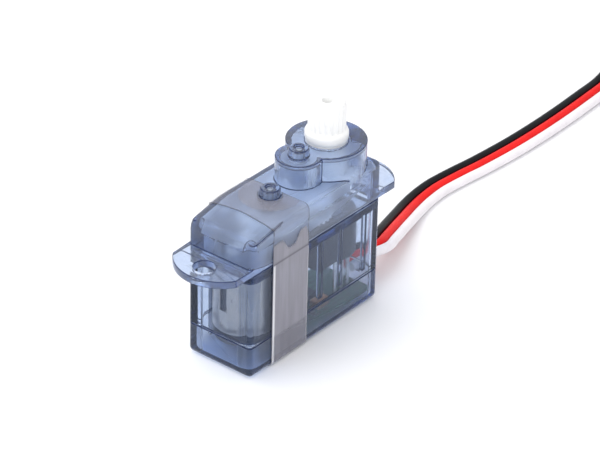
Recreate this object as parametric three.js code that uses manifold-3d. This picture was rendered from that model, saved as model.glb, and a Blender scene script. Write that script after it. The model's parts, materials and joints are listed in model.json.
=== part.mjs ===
// Ultra-micro hobby servo motor: clear smoky case in three shells, coreless-size brushed motor,
// five-stage nylon gear train on two steel pins, feedback potentiometer, circuit board and
// a three-wire lead with its connector.
//
// Millimetres, +Z up along the output shaft. +X runs along the case towards the output shaft and the
// lead, and the origin is at the middle of the footprint, on the surface that the servo stands on.

import * as THREE from "three";
import { mergeVertices } from "three/addons/utils/BufferGeometryUtils.js";
import Module from "manifold-3d";

const wasm = await Module();
wasm.setup();

// ---------------------------------------------------------------- driving dimensions

const caseLength = 20.0;
const caseWidth = 7.9;
const edgeRadius = 0.5; // outer edges of the case
const shellGap = 0.06; // open line between two shells
const slip = 0.05; // clearance between pieces that touch or turn

const tapeThickness = 0.09;
const tapeGap = 0.03;
const lift = tapeThickness + tapeGap; // the tape runs under the case, which therefore stands this high

// Heights above the underside of the case.
const height = {
  base: 3.45, // bottom cover's rim
  deck: 11.1, // floor that the gears stand on
  seam: 11.6, // where the top cover meets the middle case
  earTop: 12.4,
  ledge: 13.8, // inside the top cover, where the wall round the pinion steps back
  frontWall: 14.1,
  roof: 15.9,
  boss: 18.5,
  neck: 19.8,
  shaft: 22.8,
};

const wall = { top: 0.55, middle: 0.5, base: 0.45, floor: 0.6, deck: 0.7 };
const cornerInside = { front: 1.4, back: 0.9 }; // radii that leave thick corners at the motor end
const ear = { reach: 4.4, thickness: 0.8, holeRadius: 1.1, holeFromCase: 2.2, bow: 4.7 };
const tapeSpan = { from: 3.1, to: 8.6 }; // measured from the motor end of the case

// The roof is crowned towards the motor end: a wide cylinder whose top line climbs towards the output end.
const crown = { radius: 16, frontTop: 15.28, slope: 0.19 };

// Gear train: every stage has the same module. Axes are measured from the motor end of the case.
const gearModule = 0.2;
const pressureAngle = (25 * Math.PI) / 180;
const addendum = 0.8; // in modules
const dedendum = 1.05;
const backlash = 0.035;
const teeth = { pinion: 9, first: 27, small: 12, big: 31 };
const motorToA = (gearModule * (teeth.pinion + teeth.first)) / 2;
const pinToPin = (gearModule * (teeth.small + teeth.big)) / 2;
const bossRadius = 4.05;
const outX = caseLength - caseWidth / 2 + 0.05;
const pinBX = outX - pinToPin;
const pinAX = pinBX - pinToPin;
const motorX = pinAX - motorToA;
const gearFace = 0.7;
const levelStep = 0.8;
const firstLevel = height.deck + 0.25;
const level = (n) => firstLevel + levelStep * (n - 1);

const pinRadius = 0.38;
const gearBore = pinRadius + slip;
const pinFoot = height.deck - 0.5;
const smallBossRadius = 2.35;
const pipA = { radius: 1.03, rise: 1.0, base: height.roof - 0.05 };
const pipB = { radius: 1.03, rise: 0.9, base: height.boss };
const pipRecess = { radius: 0.5, depth: 0.2 };
const sleeveRadius = 0.85;

const output = { neck: 2.19, spline: 1.9, splineRoot: 1.78, splines: 20, foot: 0.8, screw: 0.6 };
const motor = { radius: 3.0, wall: 0.25, foot: 3.45, top: 10.32, shaft: 0.4, nose: 1.1, noseTop: 10.9 };
const board = { from: 7.4, to: 19.2, halfWidth: 3.2, low: 0.85, top: 1.4 };
const pot = { radius: 3.0, low: 6.1, top: 10.3, arm: 11.9, armHalf: 2.6, armTop: 9.6 };

// Lead: three bonded wires, side by side on the floor and on edge in the coil.
const wire = { radius: 0.5, pitch: 1.06, exitHeight: 2.87, floor: 0.55, sides: 8 };
const coil = { x: 74.0, reach: 3.9, startRadius: 5.9, perTurn: 1.06, levelTurns: 1.5, height: 1.72 };
const coilY = coil.reach - coil.startRadius;
const climb = { endRadius: 3.2, top: 3.9 };
const plug = { length: 14.0, width: 7.6, thickness: 2.6, pitch: 2.54, low: 0.05, fromCoil: 12.0 };
const plugBack = coil.x + plug.fromCoil;
const plugFront = plugBack + plug.length;
const plugY = coilY + climb.endRadius;
const plugMiddle = plug.low + plug.thickness / 2;

// ---------------------------------------------------------------- materials

const colours = {
  case_clear: ["#6f7fa3", 0.12, 0],
  tape: ["#c9cdd6", 0.35, 0],
  nylon: ["#f1f1ee", 0.45, 0],
  steel: ["#b9bcc2", 0.28, 1],
  can: ["#a9adb5", 0.3, 1],
  magnet: ["#26262a", 0.6, 0],
  black_plastic: ["#17181b", 0.5, 0],
  copper: ["#b8733a", 0.35, 1],
  tin: ["#c7c9cc", 0.3, 1],
  board_green: ["#1d5a3c", 0.45, 0],
  wire_black: ["#121213", 0.5, 0],
  wire_red: ["#d8291f", 0.5, 0],
  wire_white: ["#efeeee", 0.5, 0],
};

const materials = Object.fromEntries(
  Object.entries(colours).map(([name, [color, roughness, metalness]]) => [
    name,
    new THREE.MeshStandardMaterial({ name, color, roughness, metalness }),
  ]),
);

// ---------------------------------------------------------------- solids and placing

const servo = new THREE.Group();
servo.name = "micro_servo";

function toSolid(geometry) {
  const bare = geometry.index ? geometry.toNonIndexed() : geometry.clone();
  bare.deleteAttribute("normal");
  bare.deleteAttribute("uv");
  const merged = mergeVertices(bare, 1e-5);
  const mesh = new wasm.Mesh({
    numProp: 3,
    vertProperties: new Float32Array(merged.attributes.position.array),
    triVerts: new Uint32Array(merged.index.array),
  });
  return new wasm.Manifold(mesh);
}

function toGeometry(solid) {
  const mesh = solid.getMesh();
  const geometry = new THREE.BufferGeometry();
  geometry.setAttribute("position", new THREE.BufferAttribute(mesh.vertProperties, 3));
  geometry.setIndex(new THREE.BufferAttribute(mesh.triVerts, 1));
  geometry.computeVertexNormals();
  return geometry;
}

const join = (solids) => solids.reduce((sum, next) => sum.add(next));
const cut = (solid, tools) => tools.reduce((left, tool) => left.subtract(tool), solid);

// Places a piece. Geometry is built with X from the motor end and Z from the underside of the case.
function add(name, shape, material) {
  const geometry = shape.isBufferGeometry ? shape : toGeometry(shape);
  const mesh = new THREE.Mesh(geometry, materials[material]);
  mesh.name = name;
  mesh.position.set(-caseLength / 2, 0, lift);
  servo.add(mesh);
  return mesh;
}

// Places a piece of the lead, whose geometry is already in the servo's own frame.
function addFree(name, shape, material) {
  add(name, shape, material).position.set(0, 0, 0);
}

function boxGeometry(x0, x1, y0, y1, z0, z1) {
  const geometry = new THREE.BoxGeometry(x1 - x0, y1 - y0, z1 - z0);
  return geometry.translate((x0 + x1) / 2, (y0 + y1) / 2, (z0 + z1) / 2);
}

function rodGeometry(x, y, z0, z1, radius, sides = 32) {
  const geometry = new THREE.CylinderGeometry(radius, radius, z1 - z0, sides);
  geometry.rotateX(Math.PI / 2);
  return geometry.translate(x, y, (z0 + z1) / 2);
}

const box = (...args) => toSolid(boxGeometry(...args));
const rod = (...args) => toSolid(rodGeometry(...args));

function plate(shape, z0, z1, curveSegments = 12) {
  const geometry = new THREE.ExtrudeGeometry(shape, { depth: z1 - z0, bevelEnabled: false, curveSegments });
  return geometry.translate(0, 0, z0);
}

// A turned piece on a vertical axis; the profile is a list of [radius, z] from the bottom up.
function turned(x, y, profile, sides = 32) {
  const points = profile.map(([r, z]) => new THREE.Vector2(r, z));
  const geometry = new THREE.LatheGeometry(points, sides);
  geometry.rotateX(Math.PI / 2);
  return geometry.translate(x, y, 0);
}

function ringProfile(inner, outer, z0, z1) {
  return [
    [inner, z0],
    [outer, z0],
    [outer, z1],
    [inner, z1],
    [inner, z0],
  ];
}

// ---------------------------------------------------------------- case envelope

// Side view of the case, pulled in by inset: round bottom corners, upright ends and a flat roof with
// one long curve down to the front wall.
function sideProfile(inset) {
  const low = inset;
  const front = inset;
  const back = caseLength - inset;
  const roof = height.roof - inset;
  const r = Math.max(edgeRadius + 0.1 - inset, 0.3);
  const shape = new THREE.Shape();
  shape.moveTo(front + r, low);
  shape.lineTo(back - r, low);
  shape.absarc(back - r, low + r, r, -Math.PI / 2, 0, false);
  shape.lineTo(back, roof - r);
  shape.absarc(back - r, roof - r, r, 0, Math.PI / 2, false);
  shape.lineTo(3.2, roof);
  shape.quadraticCurveTo(front, roof - 0.25, front, height.frontWall - inset);
  shape.lineTo(front, low + r);
  shape.absarc(front + r, low + r, r, Math.PI, 1.5 * Math.PI, false);
  return shape;
}

function envelope(inset) {
  const bevel = Math.max(edgeRadius - inset, 0.2);
  const depth = caseWidth - 2 * inset - 2 * bevel;
  const geometry = new THREE.ExtrudeGeometry(sideProfile(inset), {
    depth,
    curveSegments: 6,
    bevelEnabled: true,
    bevelThickness: bevel,
    bevelSize: bevel,
    bevelOffset: -bevel,
    bevelSegments: 3,
  });
  geometry.translate(0, 0, -depth / 2);
  geometry.rotateX(Math.PI / 2);
  return toSolid(geometry).intersect(crownCylinder(inset));
}

function crownCylinder(inset) {
  const geometry = new THREE.CylinderGeometry(crown.radius - inset, crown.radius - inset, 80, 160);
  geometry.rotateZ(Math.PI / 2);
  geometry.rotateY(-Math.atan(crown.slope));
  const drop = crown.radius * Math.hypot(1, crown.slope);
  return toSolid(geometry.translate(0, 0, crown.frontTop - drop));
}

const whole = envelope(0);
const slab = (z0, z1) => box(-1, caseLength + 1, -caseWidth, caseWidth, z0, z1);

// A rectangle round the long axis, with the corner radii front at x0 and back at x1.
function roundedRectangle(x0, x1, halfWidth, front, back = front) {
  const shape = new THREE.Shape();
  shape.moveTo(x0 + front, -halfWidth);
  shape.lineTo(x1 - back, -halfWidth);
  shape.absarc(x1 - back, -halfWidth + back, back, -Math.PI / 2, 0, false);
  shape.lineTo(x1, halfWidth - back);
  shape.absarc(x1 - back, halfWidth - back, back, 0, Math.PI / 2, false);
  shape.lineTo(x0 + front, halfWidth);
  shape.absarc(x0 + front, halfWidth - front, front, Math.PI / 2, Math.PI, false);
  shape.lineTo(x0, -halfWidth + front);
  shape.absarc(x0 + front, -halfWidth + front, front, Math.PI, 1.5 * Math.PI, false);
  return shape;
}

// ---------------------------------------------------------------- shells

function bottomCover() {
  const inner = caseWidth / 2 - wall.base;
  const back = caseLength - wall.base;
  const outline = roundedRectangle(wall.base, back, inner, cornerInside.front, cornerInside.back);
  const hollow = plate(outline, wall.floor, height.base + 1, 6);
  const slotHalf = wire.pitch + wire.radius + slip;
  const slotFloor = wire.exitHeight - wire.radius - slip;
  return cut(whole.intersect(slab(-1, height.base - shellGap / 2)), [
    toSolid(hollow),
    box(caseLength - 2, caseLength + 1, -slotHalf, slotHalf, slotFloor, height.base + 1),
  ]);
}

// Cavity of the middle case: one bay for the motor and the potentiometer, with thick rounded corners
// and locating ribs on both long walls.
function middleCavity() {
  const half = caseWidth / 2 - wall.middle;
  const low = height.base - 1;
  const top = height.deck - wall.deck;
  const back = caseLength - wall.middle;
  const bay = roundedRectangle(wall.middle, back, half, cornerInside.front, cornerInside.back);
  const ribFoot = height.base + 0.55;
  const ribs = [
    [10.7, 11.3, 0.35],
    [13.9, 14.35, 0.3],
    [17.6, 18.1, 0.3],
  ].flatMap(([from, to, depth]) => [
    box(from, to, half - depth, half + 0.1, ribFoot, top + 1),
    box(from, to, -half - 0.1, -half + depth, ribFoot, top + 1),
  ]);
  return cut(toSolid(plate(bay, low, top, 6)), ribs);
}

function middleCase() {
  const body = whole.intersect(slab(height.base + shellGap / 2, height.seam - shellGap / 2));
  const tray = envelope(wall.top).intersect(slab(height.deck, height.roof));
  const through = (x, r) => rod(x, 0, height.base, height.deck + 1, r, 24);
  const socket = (x) => rod(x, 0, pinFoot - slip, height.deck + 1, pinRadius + slip, 16);
  return cut(body, [
    middleCavity(),
    tray,
    through(motorX, motor.nose + slip),
    through(outX, output.foot + 0.1),
    socket(pinAX),
    socket(pinBX),
  ]);
}

function earShape(tip, direction) {
  const half = caseWidth / 2;
  const centre = tip - direction * ear.bow;
  const root = tip - direction * (ear.reach + 1);
  const swing = Math.asin(half / ear.bow);
  const middle = direction > 0 ? 0 : Math.PI;
  const bowEnd = centre + ear.bow * Math.cos(middle - swing);
  const shape = new THREE.Shape();
  shape.moveTo(root, -direction * half);
  shape.lineTo(bowEnd, -direction * half);
  shape.absarc(centre, 0, ear.bow, middle - swing, middle + swing, false);
  shape.lineTo(root, direction * half);
  return shape;
}

function ears() {
  const z0 = height.earTop - ear.thickness;
  return [
    [-ear.reach, -1],
    [caseLength + ear.reach, 1],
  ].map(([tip, direction]) => toSolid(plate(earShape(tip, direction), z0, height.earTop, 12)));
}

function earHoles() {
  return [-ear.holeFromCase, caseLength + ear.holeFromCase].map((x) =>
    rod(x, 0, 0, height.roof, ear.holeRadius, 32),
  );
}

// End stop inside the big boss; the lug on the output gear meets it at about 110 degrees each way.
function stopBlock() {
  const shape = new THREE.Shape();
  const half = (55 * Math.PI) / 180;
  shape.absarc(0, 0, bossRadius - wall.top + 0.1, -half, half, false);
  shape.absarc(0, 0, 2.5, half, -half, true);
  const geometry = plate(shape, 15.6, height.boss - 0.3, 8);
  return toSolid(geometry.translate(outX, 0, 0));
}

// Each pin's upper end sits in a sleeve under the roof, capped by a round pip with a dimple.
const pinTop = (pip) => pip.base + pip.rise - pipRecess.depth - 0.3;

function pinSeat(x, pip, sleeveFoot) {
  const top = pip.base + pip.rise;
  const profile = [
    [0, pip.base - 0.3],
    [pip.radius, pip.base - 0.3],
    [pip.radius, top - 0.22],
    [pip.radius - 0.07, top - 0.07],
    [pip.radius - 0.22, top],
    [pipRecess.radius, top],
    [pipRecess.radius - 0.1, top - pipRecess.depth],
    [0, top - pipRecess.depth],
  ];
  return {
    outside: toSolid(turned(x, 0, profile, 32)),
    sleeve: rod(x, 0, sleeveFoot, pip.base, sleeveRadius, 24),
    bore: rod(x, 0, sleeveFoot - 1, pinTop(pip) + slip, pinRadius + slip, 16),
  };
}

const seatA = pinSeat(pinAX, pipA, level(4) + gearFace + 0.15);
const seatB = pinSeat(pinBX, pipB, level(5) + gearFace + 0.25);

function topCover() {
  const upper = slab(height.seam + shellGap / 2, 40);
  const bossFoot = height.roof - 1.5;
  const outside = join([
    whole.intersect(upper),
    rod(outX, 0, bossFoot, height.boss, bossRadius, 64),
    rod(pinBX, 0, bossFoot, height.boss, smallBossRadius, 40),
    seatA.outside,
    seatB.outside,
    ...ears(),
  ]);
  const ceiling = height.boss - wall.top;
  const space = envelope(wall.top);
  const room = join([
    space.intersect(slab(height.ledge, 40)),
    space.intersect(box(motorX, caseLength, -caseWidth, caseWidth, 0, height.roof)),
    rod(motorX, 0, height.base, height.ledge + 0.1, caseWidth / 2 - wall.top, 48),
    rod(outX, 0, bossFoot, ceiling, bossRadius - wall.top, 48),
    rod(pinBX, 0, bossFoot, ceiling, smallBossRadius - wall.top, 32),
  ]);
  const postReach = wall.top + 0.15;
  const posts = [postReach, caseLength - postReach].flatMap((x) =>
    [-1, 1].map((side) => rod(x, side * (caseWidth / 2 - postReach), 0, height.roof - 1, 0.6, 20)),
  );
  const kept = join([seatA.sleeve, seatB.sleeve, stopBlock(), ...posts]);
  return cut(outside, [
    room.subtract(kept),
    seatA.bore,
    seatB.bore,
    rod(outX, 0, height.roof, height.boss + 1, output.neck - 0.04, 40),
    slab(-1, height.seam + shellGap / 2),
    ...earHoles(),
  ]);
}

function tapeBand() {
  const band = envelope(-lift).subtract(envelope(-tapeGap));
  const span = box(tapeSpan.from, tapeSpan.to, -caseWidth, caseWidth, -1, height.roof + 1);
  const pipHole = rod(pinAX, 0, height.roof - 1, height.roof + 2, pipA.radius + 0.1, 32);
  return band.intersect(span).subtract(pipHole);
}

add("top_cover", topCover(), "case_clear");
add("middle_case", middleCase(), "case_clear");
add("bottom_cover", bottomCover(), "case_clear");
add("clear_tape_band", tapeBand(), "tape");

// ---------------------------------------------------------------- gears

const involute = (angle) => Math.tan(angle) - angle;

// Outline of a spur gear with one tooth centred on the angle phase. flankSteps is the number of
// straight stretches in each involute flank.
function gearShape(count, phase, flankSteps, bore) {
  const pitchRadius = (gearModule * count) / 2;
  const baseRadius = pitchRadius * Math.cos(pressureAngle);
  const tip = pitchRadius + addendum * gearModule;
  const root = pitchRadius - dedendum * gearModule;
  const start = Math.max(root, baseRadius);
  const halfAtPitch = (Math.PI * gearModule) / 2 - backlash;
  const halfAtBase = halfAtPitch / 2 / pitchRadius + involute(pressureAngle);
  const halfAngle = (r) => halfAtBase - involute(Math.acos(Math.min(1, baseRadius / r)));
  const flank = [[root, halfAngle(start)]];
  for (let i = 1; i <= flankSteps; i += 1) {
    const r = start + ((tip - start) * i) / flankSteps;
    flank.push([r, halfAngle(r)]);
  }
  const points = [];
  for (let k = 0; k < count; k += 1) {
    const centre = phase + (2 * Math.PI * k) / count;
    const rising = flank.map(([r, a]) => [r, centre - a]);
    const falling = [...flank].reverse().map(([r, a]) => [r, centre + a]);
    points.push(...rising, ...falling);
  }
  const shape = new THREE.Shape(points.map(([r, a]) => new THREE.Vector2(r * Math.cos(a), r * Math.sin(a))));
  if (bore) {
    shape.holes.push(new THREE.Path().absarc(0, 0, bore, 0, 2 * Math.PI, true));
  }
  return shape;
}

function spurGear(x, z0, z1, count, phase, flankSteps, bore) {
  return toSolid(plate(gearShape(count, phase, flankSteps, bore), z0, z1, 10).translate(x, 0, 0));
}

// Where two gears meet, the driver has a tooth on the line of centres and the driven gear a gap.
const gapAt = (angle, count) => angle + Math.PI / count;

function compoundGear(x, lower, bigTeeth, bigPhase, smallPhase) {
  const foot = level(lower);
  const top = level(lower + 1) + gearFace;
  const big = spurGear(x, foot, foot + gearFace, bigTeeth, bigPhase, 1, gearBore);
  const small = spurGear(x, foot, top, teeth.small, smallPhase, 2, gearBore);
  return big.add(small);
}

function spacerOn(x, z0, z1) {
  return toSolid(turned(x, 0, ringProfile(gearBore, 0.75, z0, z1), 16));
}

const pinionBore = motor.shaft + 0.03;
add("motor_pinion", spurGear(motorX, level(1), level(1) + gearFace, teeth.pinion, 0, 2, pinionBore), "nylon");
add("gear_a_lower", compoundGear(pinAX, 1, teeth.first, gapAt(Math.PI, teeth.first), 0), "nylon");
add(
  "gear_b_lower",
  compoundGear(pinBX, 2, teeth.big, gapAt(Math.PI, teeth.big), Math.PI).add(
    spacerOn(pinBX, height.deck + slip, level(2) + 0.1),
  ),
  "nylon",
);
add("gear_a_upper", compoundGear(pinAX, 3, teeth.big, gapAt(0, teeth.big), 0), "nylon");
add("gear_b_upper", compoundGear(pinBX, 4, teeth.big, gapAt(Math.PI, teeth.big), 0), "nylon");
add("gear_pin_a", rodGeometry(pinAX, 0, pinFoot, pinTop(pipA), pinRadius, 16), "steel");
add("gear_pin_b", rodGeometry(pinBX, 0, pinFoot, pinTop(pipB), pinRadius, 16), "steel");

// Output gear, neck and splined shaft are one moulding, with a foot that turns the potentiometer.
function outputGear() {
  const z0 = level(5);
  const gearTop = z0 + levelStep;
  const journal = output.neck - 0.12;
  const disc = spurGear(outX, z0, gearTop, teeth.big, gapAt(Math.PI, teeth.big), 1, 0);
  const body = toSolid(
    turned(
      outX,
      0,
      [
        [0, pot.armTop + 0.1],
        [output.foot, pot.armTop + 0.1],
        [output.foot, z0 + 0.1],
        [journal, z0 + 0.1],
        [journal, height.boss + 0.12],
        [output.neck - 0.05, height.boss + 0.22],
        [output.neck, height.boss + 0.36],
        [output.neck, height.neck - 0.42],
        [output.neck - 0.05, height.neck - 0.26],
        [output.neck - 0.15, height.neck - 0.1],
        [output.spline, height.neck],
        [output.splineRoot, height.neck],
        [output.splineRoot, height.shaft - 0.14],
        [output.splineRoot - 0.14, height.shaft],
        [0, height.shaft],
      ],
      40,
    ),
  );
  const star = new THREE.Shape();
  for (let k = 0; k < 2 * output.splines; k += 1) {
    const r = k % 2 ? output.splineRoot : output.spline;
    const a = (Math.PI * k) / output.splines;
    star[k ? "lineTo" : "moveTo"](r * Math.cos(a), r * Math.sin(a));
  }
  const spline = toSolid(plate(star, height.neck - 0.1, height.shaft - 0.25).translate(outX, 0, 0));
  const lug = new THREE.Shape();
  const lugHalf = (15 * Math.PI) / 180;
  lug.absarc(0, 0, 3.0, Math.PI - lugHalf, Math.PI + lugHalf, false);
  lug.lineTo(-1.9, -0.5);
  lug.lineTo(-1.9, 0.5);
  const stop = toSolid(plate(lug, gearTop - 0.1, gearTop + 0.65, 4).translate(outX, 0, 0));
  const screw = rod(outX, 0, height.shaft - 3, height.shaft + 1, output.screw, 20);
  return join([disc, body, spline, stop]).subtract(screw);
}

add("output_gear_and_shaft", outputGear(), "nylon");

// ---------------------------------------------------------------- motor

function motorCan() {
  const r = motor.radius;
  const inner = r - motor.wall;
  const noseBore = motor.shaft + slip;
  const can = toSolid(
    turned(
      motorX,
      0,
      [
        [inner, motor.foot],
        [r, motor.foot],
        [r, motor.top - 0.2],
        [r - 0.2, motor.top],
        [motor.nose, motor.top],
        [motor.nose, motor.noseTop],
        [noseBore, motor.noseTop],
        [noseBore, motor.top - 0.3],
        [inner, motor.top - 0.3],
        [inner, motor.foot],
      ],
      48,
    ),
  );
  const windows = [136, 178, 316, 358].map((degrees) => {
    const opening = new THREE.BoxGeometry(1.2, 0.8, 3.0);
    opening.translate(r, 0, 7.4);
    opening.rotateZ((degrees * Math.PI) / 180);
    return toSolid(opening.translate(motorX, 0, 0));
  });
  return cut(can, windows);
}

function armatureCore() {
  const shape = new THREE.Shape();
  const outer = 1.95;
  const waist = 0.7;
  const spread = (48 * Math.PI) / 180;
  for (let k = 0; k < 3; k += 1) {
    const centre = (2 * Math.PI * k) / 3;
    const next = centre + Math.PI / 3;
    shape.absarc(0, 0, outer, centre - spread, centre + spread, false);
    shape.lineTo(waist * Math.cos(next), waist * Math.sin(next));
  }
  shape.holes.push(new THREE.Path().absarc(0, 0, motor.shaft + 0.02, 0, 2 * Math.PI, true));
  return plate(shape, 5.2, 8.8, 8).translate(motorX, 0, 0);
}

function endCap() {
  const seat = motor.radius - motor.wall - slip;
  const body = toSolid(
    turned(
      motorX,
      0,
      [
        [motor.shaft + slip, 2.2],
        [motor.radius - 0.05, 2.2],
        [motor.radius - 0.05, motor.foot - slip],
        [seat, motor.foot - slip],
        [seat, 3.95],
        [1.5, 3.95],
        [1.5, 2.7],
        [motor.shaft + slip, 2.7],
        [motor.shaft + slip, 2.2],
      ],
      40,
    ),
  );
  const slot = (side) => box(motorX - 0.5, motorX + 0.5, side * 1.9 - 0.2, side * 1.9 + 0.2, 2, 4.2);
  return cut(body, [slot(1), slot(-1)]);
}

add("motor_can", motorCan(), "can");
add("motor_magnet_ring", turned(motorX, 0, ringProfile(2.15, 2.7, 4.3, 9.6), 40), "magnet");
add("motor_end_cap", endCap(), "black_plastic");
[
  ["a", 1],
  ["b", -1],
].forEach(([letter, side]) => {
  const y = side * 1.9;
  const tab = boxGeometry(motorX - 0.4, motorX + 0.4, y - 0.1, y + 0.1, 1.9, 3.9);
  add(`motor_terminal_${letter}`, tab, "tin");
  const brush = boxGeometry(motorX - 0.3, motorX + 0.3, -0.29, 0.29, 3.0, 3.5);
  add(`motor_brush_${letter}`, brush.translate(0, side * 1.16, 0), "copper");
});
add("motor_shaft", rodGeometry(motorX, 0, 1.95, 12.35, motor.shaft, 20), "steel");
add("armature_core", armatureCore(), "steel");
add("armature_winding_top", turned(motorX, 0, ringProfile(0.6, 1.8, 8.86, 9.5), 24), "copper");
add("armature_winding_bottom", turned(motorX, 0, ringProfile(0.6, 1.8, 4.4, 5.14), 24), "copper");
add("motor_commutator", turned(motorX, 0, ringProfile(motor.shaft + 0.02, 0.8, 2.8, 4.1), 20), "copper");

// ---------------------------------------------------------------- potentiometer

function potHousing() {
  const body = join([
    rod(outX, 0, pot.low, pot.top, pot.radius, 48),
    box(pot.arm, outX, -pot.armHalf, pot.armHalf, pot.low, pot.armTop),
  ]);
  return cut(body, [rod(outX, 0, 9.35, pot.top + 1, 1.5, 32)]);
}

const rotorBore = output.foot + slip;
add("potentiometer_housing", potHousing(), "black_plastic");
add("potentiometer_rotor", turned(outX, 0, ringProfile(rotorBore, 1.42, 9.42, 10.2), 32), "nylon");
[-1, 0, 1].forEach((n) => {
  const x = outX + n;
  const leg = boxGeometry(x - 0.2, x + 0.2, -2.1, -1.9, board.top + slip, pot.low - slip);
  add(`potentiometer_leg_${n + 2}`, leg, "tin");
});

// ---------------------------------------------------------------- circuit board

add(
  "circuit_board",
  boxGeometry(board.from, board.to, -board.halfWidth, board.halfWidth, board.low, board.top),
  "board_green",
);
const chipFoot = board.top + 0.03;
[
  ["control_chip", 8.5, 11.5, -1.5, 1.5, 0.85],
  ["motor_driver_chip", 12.1, 14.1, -0.6, 1.8, 0.75],
  ["supply_capacitor", 12.2, 14.0, -2.4, -1.2, 0.8],
].forEach(([name, x0, x1, y0, y1, tall]) => {
  const material = name === "supply_capacitor" ? "copper" : "black_plastic";
  add(name, boxGeometry(x0, x1, y0, y1, chipFoot, chipFoot + tall), material);
});
[8.6, 9.8, 11.0].forEach((x, i) => {
  const chip = boxGeometry(x, x + 0.6, -2.6, -1.7, chipFoot, chipFoot + 0.35);
  add(`chip_resistor_${i + 1}`, chip, "black_plastic");
});

// ---------------------------------------------------------------- wires

function tube(points, radius, steps, sides) {
  const section = new THREE.Shape();
  for (let k = 0; k < sides; k += 1) {
    const a = (2 * Math.PI * (k + 0.5)) / sides;
    section[k ? "lineTo" : "moveTo"](radius * Math.cos(a), radius * Math.sin(a));
  }
  const extrudePath = new THREE.CatmullRomCurve3(points, false, "centripetal");
  return new THREE.ExtrudeGeometry(section, { steps, extrudePath, bevelEnabled: false });
}

[
  ["motor_wire_red", 1, "wire_red"],
  ["motor_wire_black", -1, "wire_black"],
].forEach(([name, side, material]) => {
  const route = [
    [motorX + 0.5, 1.9, 1.56],
    [motorX + 1.6, 2.0, 1.44],
    [motorX + 3.0, 1.8, 1.52],
    [board.from + 0.6, 1.6, 1.73],
  ];
  const points = route.map(([x, y, z]) => new THREE.Vector3(x, side * y, z));
  add(name, tube(points, 0.28, 5, 8), material);
});

// The lead's middle wire, in the servo's own frame: [x, y, z] from the board to the coil. It leaves
// the end wall straight, drops to the surface, swings out and back, and turns on edge at the end.
const leadRoute = [
  [8.9, 0, lift + wire.exitHeight],
  [10.0, 0, lift + wire.exitHeight],
  [11.5, -0.1, 2.97],
  [13.1, -0.34, 2.87],
  [14.85, -0.49, 2.68],
  [16.4, 0.03, 2.42],
  [18.0, 0.61, 2.1],
  [19.65, 1.24, 1.74],
  [21.3, 1.86, 1.38],
  [23.0, 2.47, 1.04],
  [24.6, 3.03, 0.76],
  [26.0, 3.42, 0.6],
  [27.3, 3.68, wire.floor],
  [29.2, 3.87, wire.floor],
  [31.0, 3.89, wire.floor],
  [34.2, 3.6, wire.floor],
  [37.3, 3.23, wire.floor],
  [42.4, 2.86, wire.floor],
  [47.4, 2.74, wire.floor],
  [52.4, 2.82, wire.floor],
  [57.4, 3.06, wire.floor],
  [61.4, 3.32, wire.floor],
  [64.4, 3.52, 0.88],
  [67.2, 3.7, 1.5],
  [69.8, 3.84, coil.height],
  [coil.x, coil.reach, coil.height],
];
const twist = { from: 61.4, to: 69.8 }; // along X, where the flat lead turns on edge

// From the coil to the plug: [distance along X from the coil's middle, z].
const tailRoute = [
  [0, climb.top],
  [1.6, climb.top],
  [3.4, climb.top],
  [5.4, climb.top],
  [7.0, 3.62],
  [8.6, 2.8],
  [10.0, 1.9],
  [11.2, 1.45],
  [12.2, plugMiddle],
  [14.6, plugMiddle],
  [17.0, plugMiddle],
];

const smooth = (t) => {
  const u = Math.min(1, Math.max(0, t));
  return u * u * (3 - 2 * u);
};

// One wire of the lead beside its middle wire: turnAt is 0 where the lead is flat and 1 on edge.
function beside(points, offset, turnAt, pitchAt) {
  return points.map((p, i) => {
    const ahead = points[Math.min(i + 1, points.length - 1)];
    const behind = points[Math.max(i - 1, 0)];
    const along = new THREE.Vector3().subVectors(ahead, behind).setZ(0).normalize();
    const left = new THREE.Vector3(-along.y, along.x, 0);
    const angle = (turnAt(p) * Math.PI) / 2;
    const side = left.multiplyScalar(Math.cos(angle)).add(new THREE.Vector3(0, 0, Math.sin(angle)));
    return p.clone().addScaledVector(side, offset * pitchAt(p));
  });
}

const leadPoints = leadRoute.map(([x, y, z]) => new THREE.Vector3(x, y, z));
const tailPoints = tailRoute.map(([dx, z]) => new THREE.Vector3(coil.x + dx, plugY, z));
const turnOnEdge = (p) => smooth((p.x - twist.from) / (twist.to - twist.from));
const spreadPitch = (p) => wire.pitch + (plug.pitch - wire.pitch) * smooth((p.x - coil.x - 5) / 7);
const coilOuter = coil.startRadius + wire.radius + 0.06;
const coilInner = coil.startRadius - coil.perTurn * coil.levelTurns - wire.radius - 0.06;
const coilLow = coil.height - wire.pitch - wire.radius - 0.02;
const coilTop = coil.height + wire.pitch + wire.radius + 0.02;
const leadEnd = coil.x - Math.sqrt(coilOuter ** 2 - (coil.startRadius - wire.radius) ** 2);

[
  ["black", 1],
  ["red", 0],
  ["white", -1],
].forEach(([colour, offset]) => {
  const wholeRun = beside(leadPoints, offset, turnOnEdge, () => wire.pitch);
  const beforeCoil = wholeRun.filter((p) => p.x <= leadEnd);
  addFree(`lead_${colour}`, tube(beforeCoil, wire.radius, 16, wire.sides), `wire_${colour}`);
  const afterCoil = beside(tailPoints, offset, () => 0, spreadPitch);
  addFree(`lead_tail_${colour}`, tube(afterCoil, wire.radius, 10, wire.sides), `wire_${colour}`);
});

const coilProfile = ringProfile(coilInner, coilOuter, coilLow, coilTop);
addFree("lead_coil", turned(coil.x, coilY, coilProfile, 40), "wire_white");

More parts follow.
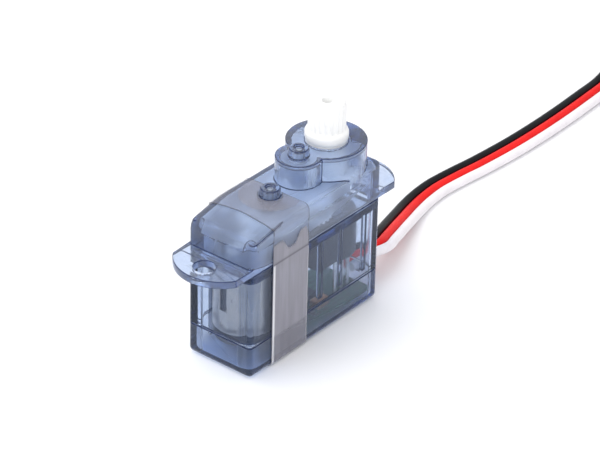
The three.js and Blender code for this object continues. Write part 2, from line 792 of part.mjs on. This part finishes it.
// A tie closed round the coil's turns on the side towards the servo.
function tieBand() {
  const halfAcross = (coilOuter - coilInner) / 2 + 0.1;
  const halfTall = (coilTop - coilLow) / 2 + 0.02;
  const thickness = 0.1;
  const width = 1.8;
  const rectangle = (target, w, h) => {
    target.moveTo(-w, -h);
    target.lineTo(w, -h);
    target.lineTo(w, h);
    target.lineTo(-w, h);
    target.lineTo(-w, -h);
    return target;
  };
  const outline = rectangle(new THREE.Shape(), halfAcross + thickness, halfTall + thickness);
  outline.holes.push(rectangle(new THREE.Path(), halfAcross, halfTall));
  const geometry = new THREE.ExtrudeGeometry(outline, { depth: width, bevelEnabled: false });
  geometry.translate(0, 0, -width / 2);
  geometry.rotateX(Math.PI / 2);
  return geometry.translate(coil.x - (coilInner + coilOuter) / 2, coilY, coil.height);
}

addFree("lead_tie", tieBand(), "black_plastic");

// Three-way socket housing, lying flat, with a square way and a latch window for each contact.
function plugHousing() {
  const half = plug.width / 2;
  const body = box(plugBack, plugFront, plugY - half, plugY + half, plug.low, plug.low + plug.thickness);
  const ways = [-1, 0, 1].flatMap((n) => {
    const y = plugY + n * plug.pitch;
    const square = (x0, x1, h) => box(x0, x1, y - h, y + h, plugMiddle - h, plugMiddle + h);
    return [
      square(plugBack - 1, plugFront - 1.2, 0.75),
      square(plugFront - 2, plugFront + 1, 0.42),
      box(plugFront - 6.4, plugFront - 4.2, y - 0.5, y + 0.5, plugMiddle, plug.low + plug.thickness + 1),
    ];
  });
  return cut(body, ways);
}

// Box contact held in a way of the housing, open towards the mating pin.
function plugContact(n) {
  const y = plugY + n * plug.pitch;
  const end = plugFront - 1.4;
  const square = (x0, x1, h) => box(x0, x1, y - h, y + h, plugMiddle - h, plugMiddle + h);
  return square(end - 7, end, 0.6).subtract(square(end - 5, end + 1, 0.45));
}

addFree("plug_housing", plugHousing(), "black_plastic");
[-1, 0, 1].forEach((n) => addFree(`plug_contact_${n + 2}`, plugContact(n), "tin"));

export default servo;
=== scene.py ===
"""Looks of an ultra-micro hobby servo: a smoky clear case round a motor and a nylon gear train, a band
of clear tape, and a three-wire lead. Lengths are in millimetres here and become metres through MM."""

import json
import math

import bmesh
import bpy
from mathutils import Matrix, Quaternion, Vector, noise
from mathutils.bvhtree import BVHTree


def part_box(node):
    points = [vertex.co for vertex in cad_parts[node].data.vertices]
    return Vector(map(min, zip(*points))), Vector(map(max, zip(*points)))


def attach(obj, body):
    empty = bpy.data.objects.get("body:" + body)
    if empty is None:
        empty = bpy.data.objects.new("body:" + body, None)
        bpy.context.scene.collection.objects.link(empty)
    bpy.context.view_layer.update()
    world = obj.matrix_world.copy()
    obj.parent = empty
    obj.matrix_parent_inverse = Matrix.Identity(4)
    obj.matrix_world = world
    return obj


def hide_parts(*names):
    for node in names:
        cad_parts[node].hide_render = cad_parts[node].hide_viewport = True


MM = 0.001
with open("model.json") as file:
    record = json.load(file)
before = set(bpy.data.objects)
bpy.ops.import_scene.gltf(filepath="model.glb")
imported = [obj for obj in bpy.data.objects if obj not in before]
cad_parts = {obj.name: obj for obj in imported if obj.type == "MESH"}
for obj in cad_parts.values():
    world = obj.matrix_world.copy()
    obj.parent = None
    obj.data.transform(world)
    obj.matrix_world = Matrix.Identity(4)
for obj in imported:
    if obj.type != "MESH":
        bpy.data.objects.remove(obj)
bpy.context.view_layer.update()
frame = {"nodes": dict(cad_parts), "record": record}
nodes = frame["nodes"]

tape_low, tape_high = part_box("clear_tape_band")


# ------------------------------------------------------------------ camera, light and floor


def add_camera():
    """A long lens looks down on the motor end and the near long side."""
    azimuth, elevation, roll = (math.radians(a) for a in (-51.63, 31.44, 1.37))
    target = Vector((1.71, -0.43, 10.88)) * MM
    distance = 315.8 * MM
    back = Vector(
        (
            math.sin(azimuth) * math.cos(elevation),
            -math.cos(azimuth) * math.cos(elevation),
            math.sin(elevation),
        )
    )
    data = bpy.data.cameras.new("camera")
    data.lens = 193.3
    data.sensor_width = 36
    data.clip_start = 0.001
    camera = bpy.data.objects.new("camera", data)
    camera.rotation_mode = "QUATERNION"
    camera.location = target + back * distance
    camera.rotation_quaternion = back.to_track_quat("Z", "Y") @ Quaternion((0, 0, 1), roll)
    bpy.context.scene.collection.objects.link(camera)
    bpy.context.scene.camera = camera


def add_softbox(name, place, size, power):
    """A square area light at place, aimed at the middle of the case."""
    data = bpy.data.lights.new(name, "AREA")
    data.size = size * MM
    data.energy = power
    light = bpy.data.objects.new(name, data)
    light.location = Vector(place) * MM
    aim = light.location - Vector((0, 0, 8)) * MM
    light.rotation_mode = "QUATERNION"
    light.rotation_quaternion = aim.to_track_quat("Z", "Y")
    bpy.context.scene.collection.objects.link(light)


def add_floor():
    """A plain pale square, large enough to fill the view; its size is in metres."""
    half = 3.0
    corners = [(-half, -half, 0), (half, -half, 0), (half, half, 0), (-half, half, 0)]
    mesh = bpy.data.meshes.new("floor")
    mesh.from_pydata(corners, [], [(0, 1, 2, 3)])
    floor = bpy.data.objects.new("floor", mesh)
    bpy.context.scene.collection.objects.link(floor)
    surface = Surface("floor")
    surface.set(base=(0.93, 0.93, 0.94), roughness=0.55)
    floor.data.materials.append(surface.material)


def add_light():
    """A pale even sky, a large soft key from behind and above, and a weak fill from the front."""
    scene = bpy.context.scene
    scene.view_settings.view_transform = "Standard"
    world = bpy.data.worlds.new("studio")
    world.use_nodes = True
    sky = world.node_tree.nodes["Background"]
    sky.inputs["Color"].default_value = (0.97, 0.975, 1.0, 1)
    sky.inputs["Strength"].default_value = 0.88
    scene.world = world
    add_softbox("key", (-100, 120, 360), 380, 1.0)
    add_softbox("front_fill", (-260, -220, 160), 220, 0.25)


# ------------------------------------------------------------------ materials


class Surface:
    """A Principled material with short ways to drive its inputs from noise, in the object's own metres."""

    def __init__(self, name):
        self.material = bpy.data.materials.new(name)
        self.material.use_nodes = True
        self.tree = self.material.node_tree
        self.shader = self.tree.nodes["Principled BSDF"]
        self.output = self.tree.nodes["Material Output"]
        self.place = self.add("ShaderNodeTexCoord").outputs["Object"]

    def add(self, kind):
        return self.tree.nodes.new(kind)

    def link(self, source, target):
        self.tree.links.new(source, target)

    def set(self, base=None, roughness=None, metallic=None, **others):
        if base is not None:
            self.shader.inputs["Base Color"].default_value = (*base, 1)
        if roughness is not None:
            self.shader.inputs["Roughness"].default_value = roughness
        if metallic is not None:
            self.shader.inputs["Metallic"].default_value = metallic
        for socket, value in others.items():
            self.shader.inputs[socket.replace("_", " ")].default_value = value

    def noise(self, size, detail=3.0, stretch=(1, 1, 1)):
        """Noise with features about size millimetres across; stretch lengthens them along an axis."""
        mapping = self.add("ShaderNodeMapping")
        mapping.inputs["Scale"].default_value = [1 / (size * MM * s) for s in stretch]
        texture = self.add("ShaderNodeTexNoise")
        texture.inputs["Scale"].default_value = 1.0
        texture.inputs["Detail"].default_value = detail
        self.link(self.place, mapping.inputs["Vector"])
        self.link(mapping.outputs["Vector"], texture.inputs["Vector"])
        return texture.outputs["Fac"]

    def ramp(self, source, low, high, first, last):
        """Maps source from low..high to the numbers first..last."""
        node = self.add("ShaderNodeMapRange")
        node.inputs["From Min"].default_value = low
        node.inputs["From Max"].default_value = high
        node.inputs["To Min"].default_value = first
        node.inputs["To Max"].default_value = last
        self.link(source, node.inputs["Value"])
        return node.outputs["Result"]

    def blend(self, source, low, high, first, last):
        """Maps source from low..high to a colour between first and last."""
        node = self.add("ShaderNodeValToRGB")
        node.color_ramp.elements[0].position = low
        node.color_ramp.elements[0].color = (*first, 1)
        node.color_ramp.elements[1].position = high
        node.color_ramp.elements[1].color = (*last, 1)
        self.link(source, node.inputs["Fac"])
        return node.outputs["Color"]

    def tint(self, share, colour, other):
        """Mixes the socket colour towards the plain colour other by the socket share."""
        node = self.add("ShaderNodeMixRGB")
        node.inputs["Color2"].default_value = (*other, 1)
        self.link(share, node.inputs["Fac"])
        self.link(colour, node.inputs["Color1"])
        return node.outputs["Color"]

    def attribute(self, name):
        node = self.add("ShaderNodeAttribute")
        node.attribute_name = name
        return node.outputs["Fac"]

    def maths(self, operation, first, second):
        """A Math node; each operand is a socket or a number."""
        node = self.add("ShaderNodeMath")
        node.operation = operation
        for operand, socket in zip((first, second), node.inputs):
            if isinstance(operand, float):
                socket.default_value = operand
            else:
                self.link(operand, socket)
        return node.outputs["Value"]

    def drive(self, socket, source):
        self.link(source, self.shader.inputs[socket])

    def bump(self, source, depth):
        """Raises the surface by depth millimetres where source is one."""
        node = self.add("ShaderNodeBump")
        node.inputs["Strength"].default_value = 1.0
        node.inputs["Distance"].default_value = depth * MM
        self.link(source, node.inputs["Height"])
        self.link(node.outputs["Normal"], self.shader.inputs["Normal"])


def let_lamps_through(surface, tint):
    """Shadow rays pass the clear surface, so that lamps light what is behind it."""
    path = surface.add("ShaderNodeLightPath")
    clear = surface.add("ShaderNodeBsdfTransparent")
    clear.inputs["Color"].default_value = (*tint, 1)
    mix = surface.add("ShaderNodeMixShader")
    surface.link(path.outputs["Is Shadow Ray"], mix.inputs["Fac"])
    surface.link(surface.shader.outputs["BSDF"], mix.inputs[1])
    surface.link(clear.outputs["BSDF"], mix.inputs[2])
    surface.link(mix.outputs["Shader"], surface.output.inputs["Surface"])


def case_material(name, haze, scuffs, density):
    """Clear smoky plastic, grey-blue face on and navy where light runs along a wall. Haze is the share
    that doesn't transmit, scuffs the roughness that the outside reaches in places, density per metre."""
    s = Surface(name)
    cloud = s.noise(1.3, 4, stretch=(1.6, 1.6, 0.5))
    s.set(Transmission_Weight=1 - haze, IOR=1.45, Specular_Tint=(0.36, 0.5, 0.85, 1))
    s.drive("Base Color", s.blend(cloud, 0.3, 0.7, (0.75, 0.82, 0.93), (0.88, 0.92, 0.98)))
    outer = s.ramp(cloud, 0.45, 0.7, 0.03, scuffs)
    inner = s.maths("MULTIPLY", s.attribute("frost"), s.ramp(cloud, 0.3, 0.7, 0.85, 1.15))
    s.drive("Roughness", s.maths("ADD", outer, inner))
    s.bump(s.noise(2.2, 2), 0.006)
    let_lamps_through(s, (0.86, 0.90, 0.95))
    absorb = s.add("ShaderNodeVolumeAbsorption")
    absorb.inputs["Color"].default_value = (0.03, 0.26, 0.64, 1)
    absorb.inputs["Density"].default_value = density
    s.link(absorb.outputs["Volume"], s.output.inputs["Volume"])
    return s.material


def tape_material():
    """Clear tape: almost unseen where it sticks, milky over air, with a painted highlight on its cut edges
    and painted shade where a gap shows dark.
    """
    s = Surface("clear_tape")
    s.set(roughness=0.22, IOR=1.45)
    streaks = s.noise(0.8, 3, stretch=(0.7, 1, 9))
    milk = s.attribute("milk")
    veil = s.maths("MULTIPLY", milk, s.ramp(streaks, 0.3, 0.7, 0.72, 0.80))
    s.drive("Alpha", s.maths("ADD", veil, 0.02))
    grey = s.blend(streaks, 0.3, 0.7, (0.275, 0.27, 0.315), (0.315, 0.31, 0.36))
    # Painted highlight: the rim attribute lightens the tape towards near white along its cut edges.
    bright = s.tint(s.attribute("rim"), grey, (0.92, 0.92, 0.95))
    # Painted shade: this attribute darkens the tape to near black over the shaded gaps and the seam.
    s.drive("Base Color", s.tint(s.attribute("gap_shade_paint"), bright, (0.012, 0.014, 0.03)))
    s.bump(s.noise(0.9, 3, stretch=(0.8, 1, 6)), 0.01)
    return s.material


def nylon_material():
    """White moulded nylon with a faint mottle and a satin grain."""
    s = Surface("nylon_white")
    s.drive("Base Color", s.blend(s.noise(2.0, 2), 0.3, 0.7, (0.87, 0.87, 0.855), (0.93, 0.93, 0.92)))
    s.drive("Roughness", s.ramp(s.noise(0.25, 4), 0.3, 0.7, 0.36, 0.5))
    s.bump(s.noise(0.12, 2), 0.004)
    return s.material


def steel_material(name, colour, rough, grain):
    """Drawn or ground metal with fine lines; grain is how much longer the lines are than wide."""
    s = Surface(name)
    s.set(metallic=1.0)
    lines = s.noise(0.12, 3, stretch=grain)
    s.drive("Base Color", s.blend(lines, 0.3, 0.7, [c * 0.92 for c in colour], colour))
    s.drive("Roughness", s.ramp(lines, 0.3, 0.7, rough, rough + 0.12))
    s.bump(lines, 0.0006)
    return s.material


def copper_material():
    """Bare and lacquered copper, uneven in colour."""
    s = Surface("copper")
    s.set(metallic=1.0)
    s.drive("Base Color", s.blend(s.noise(0.4, 2), 0.35, 0.7, (0.62, 0.3, 0.14), (0.83, 0.45, 0.24)))
    s.drive("Roughness", s.ramp(s.noise(0.15, 2), 0.3, 0.7, 0.28, 0.45))
    return s.material


def moulded_material(name, dark, light, rough=0.42, shine=0.5):
    """Solid moulded plastic or insulation with a fine satin grain."""
    s = Surface(name)
    s.set(Specular_IOR_Level=shine)
    s.drive("Base Color", s.blend(s.noise(1.4, 3), 0.3, 0.7, dark, light))
    s.drive("Roughness", s.ramp(s.noise(0.2, 3), 0.3, 0.7, rough - 0.06, rough + 0.08))
    s.bump(s.noise(0.09, 2), 0.003)
    return s.material


def board_material():
    """Green solder mask with slightly lighter copper tracks under it."""
    s = Surface("board_green")
    tracks = s.add("ShaderNodeTexBrick")
    tracks.inputs["Scale"].default_value = 1 / (2.4 * MM)
    tracks.inputs["Mortar Size"].default_value = 0.06
    tracks.inputs["Color1"].default_value = (0.006, 0.05, 0.028, 1)
    tracks.inputs["Color2"].default_value = (0.007, 0.06, 0.033, 1)
    tracks.inputs["Mortar"].default_value = (0.02, 0.12, 0.06, 1)
    s.link(s.place, tracks.inputs["Vector"])
    s.drive("Base Color", tracks.outputs["Color"])
    s.set(roughness=0.35)
    return s.material


MATERIALS = {
    "case_clear": case_material("case_clear", 0.012, 0.08, 320.0),
    "clear_tape": tape_material(),
    "nylon_white": nylon_material(),
    "pin_steel": steel_material("pin_steel", (0.78, 0.79, 0.81), 0.18, (1, 1, 10)),
    "motor_can_steel": steel_material("motor_can_steel", (0.50, 0.46, 0.41), 0.26, (1, 1, 12)),
    "magnet_dark": moulded_material("magnet_dark", (0.02, 0.02, 0.022), (0.045, 0.045, 0.05), 0.5),
    "black_plastic": moulded_material("black_plastic", (0.012, 0.012, 0.014), (0.03, 0.03, 0.034)),
    "copper": copper_material(),
    "contact_tin": steel_material("contact_tin", (0.78, 0.77, 0.74), 0.25, (1, 1, 3)),
    "board_green": board_material(),
    "wire_black": moulded_material("wire_black", (0.002, 0.002, 0.004), (0.005, 0.005, 0.007), 0.4, 0.2),
    "wire_red": moulded_material("wire_red", (0.72, 0.008, 0.008), (0.84, 0.014, 0.012), 0.4, 0.2),
    "wire_white": moulded_material("wire_white", (0.80, 0.76, 0.78), (0.88, 0.84, 0.86), 0.4, 0.3),
}

# The three shells differ in haze, and their rounded edges carry a dark line: opaque navy painted shade,
# standing in for the dark look of a clear wall seen along its length.
SHELL_MATERIALS = {
    "top_cover": case_material("case_clear_frosted", 0.1, 0.22, 400.0),
    "middle_case": MATERIALS["case_clear"],
    "bottom_cover": case_material("case_clear_hazy", 0.04, 0.15, 360.0),
}
# Painted shade: opaque dark navy for the shells' rounded edges.
PAINTED_EDGE_SHADE = moulded_material("case_edge_painted_dark", (0.008, 0.016, 0.06), (0.02, 0.036, 0.11), 0.25)


# ------------------------------------------------------------------ CAD nodes that stay

BEVEL_ANGLE = 35  # degrees between two faces, above which their edge is rounded
CREASE_ANGLE = 32  # and above which it stays sharp in the shading
WELD_DISTANCE = 0.001
BEVEL = {  # edge rounding by material slot
    "case_clear": 0.075,
    "nylon_white": 0.05,
    "motor_can_steel": 0.08,
    "black_plastic": 0.1,
    "contact_tin": 0.03,
    "board_green": 0.03,
    "copper": 0.04,
}


def soften(node, width):
    """Merges the node's split corners, then rounds and smooths its edges without moving its mesh."""
    if "custom_normal" in node.data.attributes:
        node.data.attributes.remove(node.data.attributes["custom_normal"])
    for polygon in node.data.polygons:
        polygon.use_smooth = True
    weld = node.modifiers.new("weld", "WELD")
    weld.merge_threshold = WELD_DISTANCE * MM
    if width:
        bevel = node.modifiers.new("edges", "BEVEL")
        bevel.width = width * MM
        bevel.segments = 2
        bevel.limit_method = "ANGLE"
        bevel.angle_limit = math.radians(BEVEL_ANGLE)
        bevel.use_clamp_overlap = False
        # On a shell this last slot is the navy painted edge shade, so its rounded edges show a dark
        # outline.
        bevel.material = len(node.data.materials) - 1
    split = node.modifiers.new("creases", "EDGE_SPLIT")
    split.split_angle = math.radians(CREASE_ANGLE)
    weighted = node.modifiers.new("flat faces stay flat", "WEIGHTED_NORMAL")
    weighted.keep_sharp = True


# Shells, each with the side that its cavity opens towards and how rough its inner faces are.
SHELLS = {"top_cover": (-1, 0.42), "middle_case": (-1, 0.15), "bottom_cover": (1, 0.35)}
CORNER_FROST = 0.7  # the thick inner corners at the motor end
CORNERS_END = -7.5  # X up to which those corners reach
RIM_HEIGHT = 0.2
RAY_START = 0.01  # how far off a face its rays start


def ways_out(opens):
    """Directions away from the opening and level with it, in which an outer face sees free air."""
    steps = (-1, -0.4, 0, 0.4, 1)
    rises = (0, 0.5, 1.5)
    return [Vector((x, y, -opens * z)) for x in steps for y in steps for z in rises if x or y or z]


def frost_inside(node, opens, strength):
    """Marks the shell's inner faces, from which no way out is found except through the opening."""
    vertices = [vertex.co for vertex in node.data.vertices]
    tree = BVHTree.FromPolygons(vertices, [polygon.vertices for polygon in node.data.polygons])
    ways = ways_out(opens)
    rim = RIM_HEIGHT * MM + min(place.z for place in vertices)
    frost = node.data.attributes.new("frost", "FLOAT", "FACE")
    for polygon, value in zip(node.data.polygons, frost.data):
        normal = polygon.normal
        start = polygon.center + normal * RAY_START * MM
        out = any(way.dot(normal) > 0.05 and tree.ray_cast(start, way)[0] is None for way in ways)
        on_rim = opens < 0 and normal.z * opens > 0.5 and polygon.center.z < rim
        slanted = min(abs(normal.x), abs(normal.y)) > 0.15
        if out or on_rim:
            value.value = 0.0
        elif slanted and polygon.center.x < CORNERS_END * MM:
            value.value = CORNER_FROST
        else:
            value.value = strength


def dress_nodes():
    """Gives every CAD node its material and rounded edges, and each shell its frost and edges painted dark
    navy as shade.
    """
    for name, (opens, strength) in SHELLS.items():
        frost_inside(nodes[name], opens, strength)
    for part in frame["record"]["subparts"]:
        node = nodes[part["node"]]
        slot = part["material_slot"]
        node.data.materials.clear()
        node.data.materials.append(SHELL_MATERIALS.get(part["node"], MATERIALS[slot]))
        # The shells get the painted edge shade as a second slot, for their bevels.
        if part["node"] in SHELL_MATERIALS:
            node.data.materials.append(PAINTED_EDGE_SHADE)
        soften(node, BEVEL.get(slot, 0))


# ------------------------------------------------------------------ lead

WIRE_RADIUS = 0.5
WIRE_PITCH = 1.06
LEAD_COLOURS = (("black", 1), ("red", 0), ("white", -1))
EXIT_HEIGHT = 2.99
FLOOR_HEIGHT = 0.55
COIL = {
    "x": 74.0,
    "start": 5.9,
    "per_turn": 1.06,
    "level_turns": 1.5,
    "climb_turns": 0.5,
    "height": 1.72,
}
COIL_Y = 3.9 - COIL["start"]
CLIMB_END_RADIUS = 3.2
CLIMB_TOP = 3.9
PLUG_PITCH = 2.54
PLUG_MIDDLE = 1.35
TWIST = (61.4, 69.8)  # X between which the lead turns on edge

LEAD_ROUTE = [
    (8.9, 0, EXIT_HEIGHT),
    (10.0, 0, EXIT_HEIGHT),
    (11.5, -0.1, 2.97),
    (13.1, -0.34, 2.87),
    (14.85, -0.49, 2.68),
    (16.4, 0.03, 2.42),
    (18.0, 0.61, 2.1),
    (19.65, 1.24, 1.74),
    (21.3, 1.86, 1.38),
    (23.0, 2.47, 1.04),
    (24.6, 3.03, 0.76),
    (26.0, 3.42, 0.6),
    (27.3, 3.68, FLOOR_HEIGHT),
    (29.2, 3.87, FLOOR_HEIGHT),
    (31.0, 3.89, FLOOR_HEIGHT),
    (34.2, 3.6, FLOOR_HEIGHT),
    (37.3, 3.23, FLOOR_HEIGHT),
    (42.4, 2.86, FLOOR_HEIGHT),
    (47.4, 2.74, FLOOR_HEIGHT),
    (52.4, 2.82, FLOOR_HEIGHT),
    (57.4, 3.06, FLOOR_HEIGHT),
    (61.4, 3.32, FLOOR_HEIGHT),
    (64.4, 3.52, 0.88),
    (67.2, 3.7, 1.5),
    (69.8, 3.84, COIL["height"]),
]
TAIL_ROUTE = [  # distance along X from the coil's middle, and height
    (1.6, CLIMB_TOP),
    (3.4, CLIMB_TOP),
    (5.4, CLIMB_TOP),
    (7.0, 3.62),
    (8.6, 2.8),
    (10.0, 1.9),
    (11.2, 1.45),
    (12.2, PLUG_MIDDLE),
    (14.6, PLUG_MIDDLE),
    (17.0, PLUG_MIDDLE),
]


def smooth(t):
    """Rises from 0 to 1 as t does, level at both ends."""
    u = min(1.0, max(0.0, t))
    return u * u * (3 - 2 * u)


def lead_centre():
    """The middle wire's points, each with how far the lead is turned on edge and its wires' pitch."""
    samples = []
    for x, y, z in LEAD_ROUTE:
        turned = smooth((x - TWIST[0]) / (TWIST[1] - TWIST[0]))
        samples.append((Vector((x, y, z)), turned, WIRE_PITCH))
    per_turn = 20
    level_steps = round(COIL["level_turns"] * per_turn)
    for i in range(level_steps):
        turns = i / per_turn
        angle = math.pi / 2 - 2 * math.pi * turns
        r = COIL["start"] - COIL["per_turn"] * turns
        place = Vector((COIL["x"] + r * math.cos(angle), COIL_Y + r * math.sin(angle), COIL["height"]))
        samples.append((place, 1.0, WIRE_PITCH))
    inner = COIL["start"] - COIL["per_turn"] * COIL["level_turns"]
    climb_steps = 12
    for i in range(climb_steps + 1):
        t = i / climb_steps
        angle = math.pi / 2 - 2 * math.pi * (COIL["level_turns"] + COIL["climb_turns"] * t)
        r = inner + (CLIMB_END_RADIUS - inner) * smooth(t * 1.15)
        z = COIL["height"] + (CLIMB_TOP - COIL["height"]) * smooth(t)
        place = Vector((COIL["x"] + r * math.cos(angle), COIL_Y + r * math.sin(angle), z))
        samples.append((place, 1 - smooth((i - 4) / 8), WIRE_PITCH))
    for along, z in TAIL_ROUTE:
        pitch = WIRE_PITCH + (PLUG_PITCH - WIRE_PITCH) * smooth((along - 5) / 7)
        samples.append((Vector((COIL["x"] + along, COIL_Y + CLIMB_END_RADIUS, z)), 0.0, pitch))
    return samples


def catmull(values, i, t):
    """Value at t between values[i] and values[i + 1] on a smooth curve through them all."""
    a = values[max(i - 1, 0)]
    b = values[i]
    c = values[i + 1]
    d = values[min(i + 2, len(values) - 1)]
    return (b * 2 + (c - a) * t + (a * 2 - b * 5 + c * 4 - d) * t**2 + (b * 3 - a - c * 3 + d) * t**3) * 0.5


def wire_points(offset):
    """One wire's own line, offset from the middle wire by that many pitches."""
    samples = lead_centre()
    places, turned, pitches = (list(column) for column in zip(*samples))
    steps = 6
    fine = []
    for i in range(len(samples) - 1):
        for k in range(steps):
            t = k / steps
            fine.append((catmull(places, i, t), catmull(turned, i, t), catmull(pitches, i, t)))
    fine.append(samples[-1])
    points = []
    for i, (place, turn, pitch) in enumerate(fine):
        along = fine[min(i + 1, len(fine) - 1)][0] - fine[max(i - 1, 0)][0]
        along.z = 0
        along.normalize()
        angle = turn * math.pi / 2
        side = Vector((-along.y, along.x, 0)) * math.cos(angle) + Vector((0, 0, math.sin(angle)))
        points.append((place + side * offset * pitch) * MM)
    return points


def wire_curve(name, points, radius, material):
    """A round wire along the points, with closed ends."""
    data = bpy.data.curves.new(name, "CURVE")
    data.dimensions = "3D"
    data.bevel_depth = radius * MM
    data.bevel_resolution = 5
    data.use_fill_caps = True
    spline = data.splines.new("POLY")
    spline.points.add(len(points) - 1)
    for spline_point, place in zip(spline.points, points):
        spline_point.co = (*place, 1)
    data.materials.append(MATERIALS[material])
    curve = bpy.data.objects.new(name, data)
    bpy.context.scene.collection.objects.link(curve)
    return curve


def add_lead():
    """Three wires, each from the case to its own contact in the plug."""
    contacts = {"black": "plug_contact_3", "red": "plug_contact_2", "white": "plug_contact_1"}
    for colour, offset in LEAD_COLOURS:
        points = wire_points(offset)
        wire = wire_curve(f"wire_{colour}", points, WIRE_RADIUS, f"wire_{colour}")
        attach(wire, "case")
        covered = [f"lead_{colour}", f"lead_tail_{colour}"]
        if colour == "red":
            covered.append("lead_coil")
        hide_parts(*covered)
        on_it = [nodes[contacts[colour]]]
        if colour == "red":
            on_it += [nodes["plug_housing"], nodes["lead_tie"]]


# ------------------------------------------------------------------ tape band

SEAM = 11.72 * MM  # heights of the open lines between the shells
BASE_SEAM = 3.57 * MM
PIP = Vector((-2.5, 0)) * MM
PIP_HOLE = 1.15 * MM
ABOVE_WALLS = 14 * MM
TAPE_GRID = 0.16 * MM
TAPE_ROWS = 36
FILM = 0.05 * MM


def tape_outline():
    """Directions round the case, evenly spaced on a rectangle of the band's own size."""
    half = tape_high.y
    low, high = tape_low.z, tape_high.z
    middle = Vector((0, (low + high) / 2))
    corners = [Vector((-half, low)), Vector((-half, high)), Vector((half, high)), Vector((half, low))]
    directions = []
    for a, b in zip(corners, corners[1:] + corners[:1]):
        count = round((b - a).length / TAPE_GRID)
        directions += [a.lerp(b, i / count) - middle for i in range(count)]
    return middle, directions


def tape_mesh():
    """A grid laid on the band's CAD shape by rays from outside, with a hole where the pip comes through."""
    tree = BVHTree.FromObject(nodes["clear_tape_band"], bpy.context.evaluated_depsgraph_get())
    middle, directions = tape_outline()
    grid = bmesh.new()
    rows = []
    for j in range(TAPE_ROWS + 1):
        share = j / TAPE_ROWS
        row = []
        for direction in directions:
            level = middle.y + direction.y
            seed = 3.0 if share > 0.5 else 8.0
            sway = noise.noise(Vector((level * 900, direction.x * 700, seed)))
            reach = tape_low.x + (tape_high.x - tape_low.x) * share
            edge = smooth(abs(share - 0.5) * 4 - 1) * (1 if share > 0.5 else -1)
            x = reach - edge * (0.06 + 0.05 * sway) * MM
            outside = Vector((x, direction.x * 1.6, middle.y + direction.y * 1.6))
            inward = Vector((0, -direction.x, -direction.y)).normalized()
            row.append(grid.verts.new(tree.ray_cast(outside, inward)[0]))
        rows.append(row)
    count = len(directions)
    for a, b in zip(rows, rows[1:]):
        for k in range(count):
            after = (k + 1) % count
            grid.faces.new((a[k], a[after], b[after], b[k]))
    centres = [(face, face.calc_center_median()) for face in grid.faces]
    hole = [face for face, at in centres if at.z > ABOVE_WALLS and (at.xy - PIP).length < PIP_HOLE]
    bmesh.ops.delete(grid, geom=hole, context="FACES")
    bmesh.ops.recalc_face_normals(grid, faces=grid.faces)
    mesh = bpy.data.meshes.new("tape_film")
    grid.to_mesh(mesh)
    grid.free()
    return mesh


def add_tape():
    """A thin film with wavy edges, whose points carry how milky it is and where a highlight and a shade are
    painted on it.
    """
    mesh = tape_mesh()
    for name, amount in (("milk", milkiness), ("rim", painted_rim_highlight), ("gap_shade_paint", painted_gap_shade)):
        layer = mesh.attributes.new(name, "FLOAT", "POINT")
        for vertex, value in zip(mesh.vertices, layer.data):
            value.value = amount(vertex.co)
    for polygon in mesh.polygons:
        polygon.use_smooth = True
    film = bpy.data.objects.new("tape_film", mesh)
    bpy.context.scene.collection.objects.link(film)
    film.data.materials.append(MATERIALS["clear_tape"])
    thick = film.modifiers.new("thickness", "SOLIDIFY")
    thick.thickness = FILM
    thick.offset = -1
    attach(film, "case")
    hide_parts("clear_tape_band")


def along_band(place):
    """Where a point lies across the band's width, 0 at the motor end and 1 at the output end."""
    return (place.x - tape_low.x) / (tape_high.x - tape_low.x)


def on_side(place):
    """One on both long sides of the case, and nothing on the roof and underneath."""
    beside = smooth((abs(place.y) - 3.7 * MM) / (0.2 * MM))
    return beside * smooth((15.2 * MM - place.z) / (0.4 * MM))


def milkiness(place):
    """How opaque the tape is: milky on both long sides up to a dipped border, faint on the roof."""
    along = along_band(place)
    dip = 1.2 * MM * math.exp(-(((along - 0.52) / 0.19) ** 4))
    border = 14.1 * MM - dip - 1.4 * MM * smooth((along - 0.9) / 0.1)
    low = smooth((border - place.z) / (0.45 * MM))
    foot = 1 - 0.35 * smooth((BASE_SEAM - place.z) / (0.3 * MM))
    roof = (1 - on_side(place)) * smooth((place.z - 14.3 * MM) / (0.8 * MM))
    near_pip = smooth((3.2 * MM - (place.xy - PIP).length) / (0.2 * MM))
    veil = max(on_side(place) * low * foot, roof * (0.14 + 0.34 * near_pip), 0.06)
    # The painted highlight and painted shade lines are made opaque as well.
    return max(veil, painted_rim_highlight(place), painted_gap_shade(place))


def painted_rim_highlight(place):
    """Painted highlight along the cut edges, where they catch the light, most on the long sides below the
    upper shell.
    """
    along = along_band(place)
    front = smooth((0.085 - along) / 0.03) * smooth((along - 0.02) / 0.02)
    back = 0.6 * smooth((along - 0.97) / 0.02)
    below_seam = on_side(place) * smooth((SEAM - place.z) / (0.3 * MM))
    return (front + back) * below_seam


def painted_gap_shade(place):
    """Painted shade: the gaps beside the cut edges and the seam of the upper shell, which lie in shade, are
    painted on the tape as dark lines.
    """
    along = along_band(place)
    above_seam = smooth((place.z - SEAM) / (0.3 * MM))
    width = 0.02 + 0.02 * (1 - on_side(place))
    front = 0.9 * smooth((width - along) / 0.02)
    back = 0.6 * smooth((along - 0.97) / 0.02) * above_seam
    seam = 0.9 * smooth(1 - abs(place.z - SEAM) / (0.14 * MM)) * on_side(place)
    return max(front, back, seam)


# ------------------------------------------------------------------ the whole scene


def main():
    """Builds everything, with the tape last, because it is laid on the finished CAD shape."""
    add_camera()
    add_lead()
    add_light()
    add_floor()
    dress_nodes()
    add_tape()


main()
